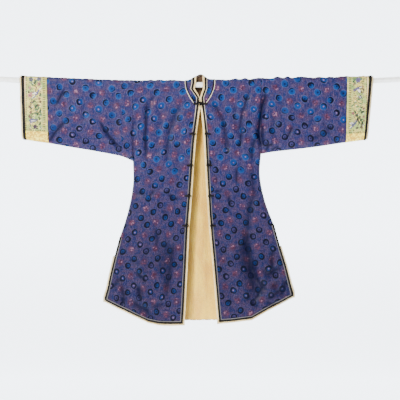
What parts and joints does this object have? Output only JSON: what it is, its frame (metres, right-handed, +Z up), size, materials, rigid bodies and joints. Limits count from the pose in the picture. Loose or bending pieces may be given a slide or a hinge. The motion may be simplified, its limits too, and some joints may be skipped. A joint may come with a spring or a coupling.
{
  "type": "changshan robe on a display rod",
  "caption": "Fleece-lined silk robe with an open front, round neck yoke, knot closures and pale cuff bands, hung on a thin rod.",
  "frame": {"origin": "middle of the display rod's length, on its axis, at the height of the rod's lowest point", "axes": "+X along the rod to the viewer's right, which is the wearer's left; -Y the way the open front faces; +Z up"},
  "size_m": [1.72, 0.0769, 1.0029],
  "materials": {
    "silk": "blue-violet cut velvet silk with ring and blossom pattern",
    "black_binding": "black woven braid",
    "pale_piping": "pale grey cord",
    "fleece": "cream fleece",
    "cuff_silk": "cream silk with flower embroidery",
    "rod_paint": "white satin paint"
  },
  "bodies": {
    "root": {"back_hem_binding_left": "black_binding", "back_hem_binding_right": "black_binding", "back_hem_piping_left": "pale_piping", "back_hem_piping_right": "pale_piping", "back_lining": "fleece", "back_slit_fleece_left": "fleece", "back_slit_fleece_right": "fleece", "body_left": "silk", "body_right": "silk", "cuff_band_left": "cuff_silk", "cuff_band_right": "cuff_silk", "cuff_binding_left": "black_binding", "cuff_binding_right": "black_binding", "cuff_fleece_left": "fleece", "cuff_fleece_right": "fleece", "display_rod": "rod_paint", "edge_binding_left": "black_binding", "edge_binding_right": "black_binding", "edge_piping_left": "pale_piping", "edge_piping_right": "pale_piping", "front_lining_left": "fleece", "front_lining_right": "fleece", "front_slit_fleece_left": "fleece", "front_slit_fleece_right": "fleece", "knot_ball_1": "black_binding", "knot_ball_2": "black_binding", "knot_ball_3": "black_binding", "knot_ball_4": "black_binding", "knot_ball_5": "black_binding", "knot_loop_1": "black_binding", "knot_loop_2": "black_binding", "knot_loop_3": "black_binding", "knot_loop_4": "black_binding", "knot_loop_5": "black_binding", "knot_tail_1": "black_binding", "knot_tail_2": "black_binding", "knot_tail_3": "black_binding", "knot_tail_4": "black_binding", "knot_tail_5": "black_binding", "sleeve_left": "silk", "sleeve_right": "silk", "yoke_border_left": "black_binding", "yoke_border_right": "black_binding", "yoke_left": "silk", "yoke_right": "silk"}
  },
  "joints": []
}
